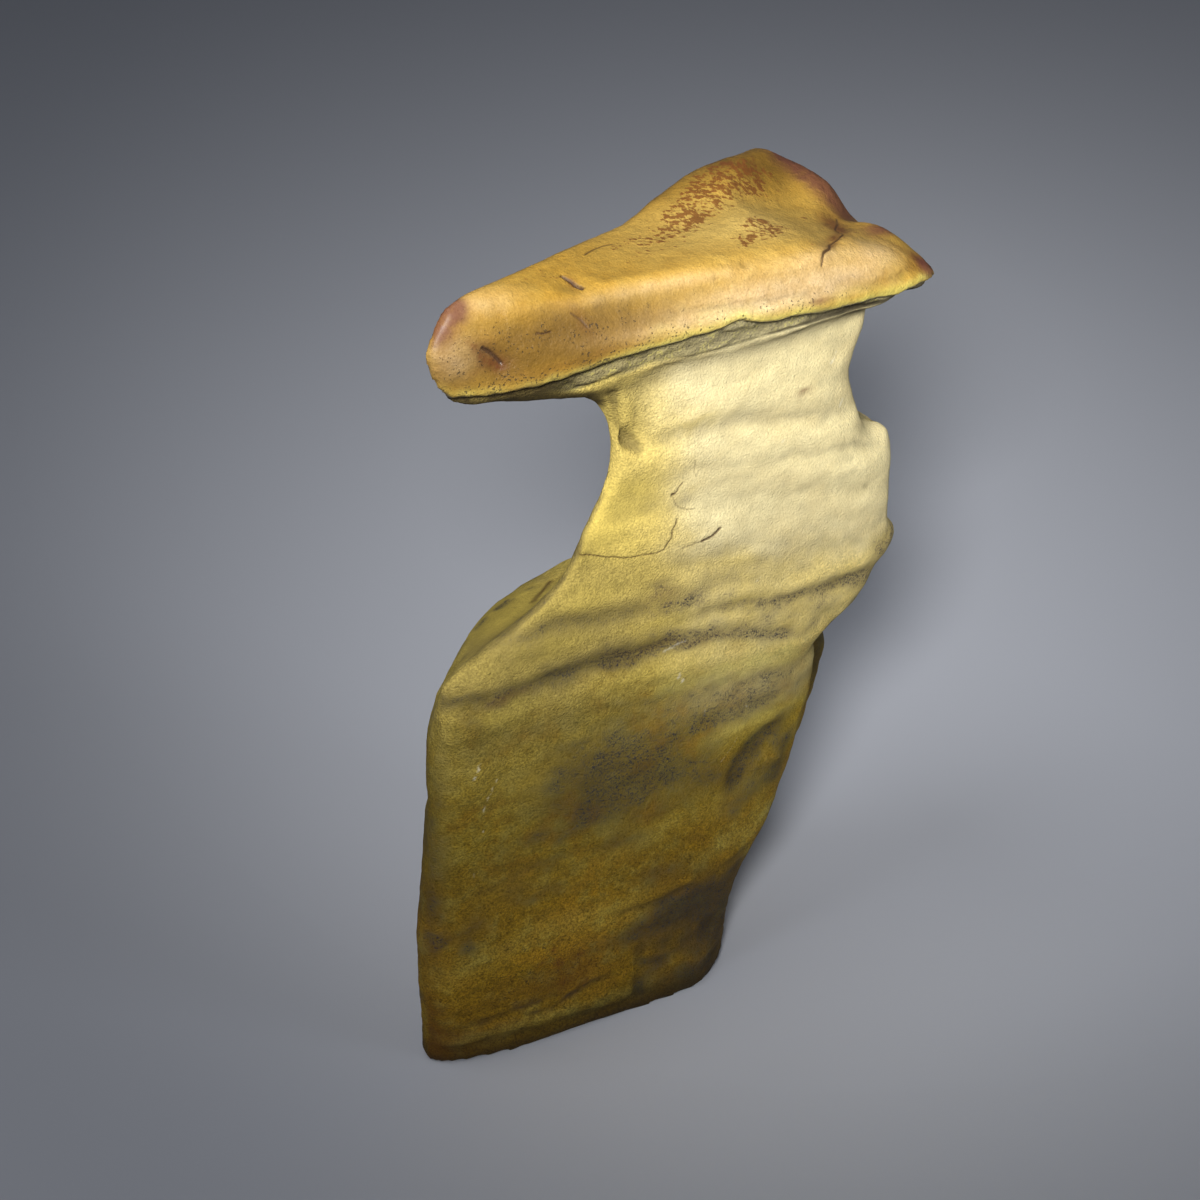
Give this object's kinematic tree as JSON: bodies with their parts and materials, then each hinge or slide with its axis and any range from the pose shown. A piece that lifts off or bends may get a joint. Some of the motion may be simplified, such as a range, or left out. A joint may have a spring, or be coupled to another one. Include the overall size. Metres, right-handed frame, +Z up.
{
  "type": "banded agate",
  "caption": "Natural ochre stone in level bands, standing upright: a slab-like column on a flat foot, a waisted neck and a wider overhanging cap.",
  "frame": {"origin": "middle of the bounding box's bottom, on the floor the stone stands on", "axes": "+Z up across the level bands; the broad face looks along -Y; +X runs to that face's right"},
  "size_m": [0.0972, 0.048, 0.1496],
  "materials": {
    "ochre_stone": "fine-grained matt body, waxy cap"
  },
  "bodies": {
    "root": {"agate_stone": "ochre_stone"}
  },
  "joints": []
}
